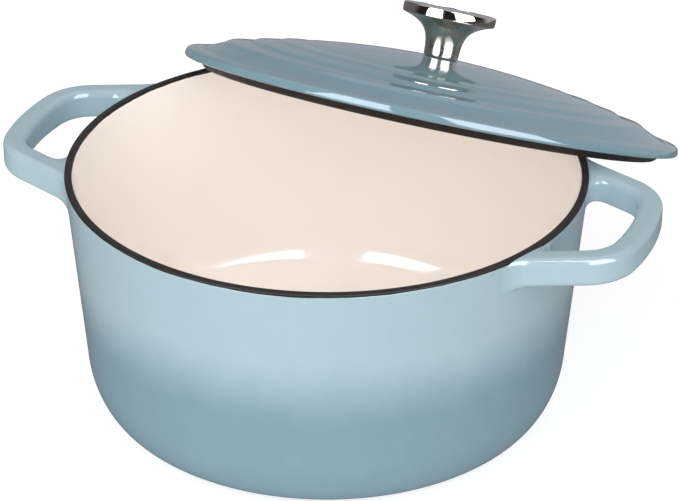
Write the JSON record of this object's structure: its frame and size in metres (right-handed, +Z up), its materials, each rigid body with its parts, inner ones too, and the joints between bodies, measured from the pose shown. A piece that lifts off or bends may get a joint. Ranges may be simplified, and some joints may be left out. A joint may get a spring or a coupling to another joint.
{
  "type": "dutch oven with lid",
  "caption": "Round enamelled cast iron dutch oven with two loop handles, its stepped lid with a waisted steel knob leaning open on the back of the rim.",
  "frame": {"origin": "centre of the flat base, on the surface the pot stands on", "axes": "+Z up along the pot's axis, the two loop handles along +X and -X, the lid leans on the rim's +Y side"},
  "size_m": [0.3386, 0.3667, 0.1724],
  "materials": {
    "bare_iron": "matte black-brown, as cast, ground flat under the base",
    "pot_blue_enamel": "glossy fired enamel, pale blue at the rim to a deeper teal grey below",
    "lid_blue_enamel": "glossy fired enamel, pale blue grey",
    "cream_enamel": "glossy fired enamel, warm cream",
    "polished_steel": "mirror polished stainless steel",
    "zinc_plated_steel": "satin zinc plate"
  },
  "bodies": {
    "pot": {"pot_casting": "bare_iron", "pot_exterior_enamel": "pot_blue_enamel", "pot_interior_enamel": "cream_enamel"},
    "lid": {"lid_casting": "bare_iron", "lid_exterior_enamel": "lid_blue_enamel", "lid_interior_enamel": "cream_enamel", "knob_shell": "polished_steel", "knob_cap": "polished_steel", "knob_insert": "zinc_plated_steel", "knob_screw": "zinc_plated_steel", "flat_washer": "zinc_plated_steel", "spring_washer": "zinc_plated_steel"}
  },
  "joints": [
    {"name": "lid_lift", "type": "slide", "parent": "pot", "child": "lid", "axis": [0, 0, 1], "range_m": [0, 0.2]}
  ]
}
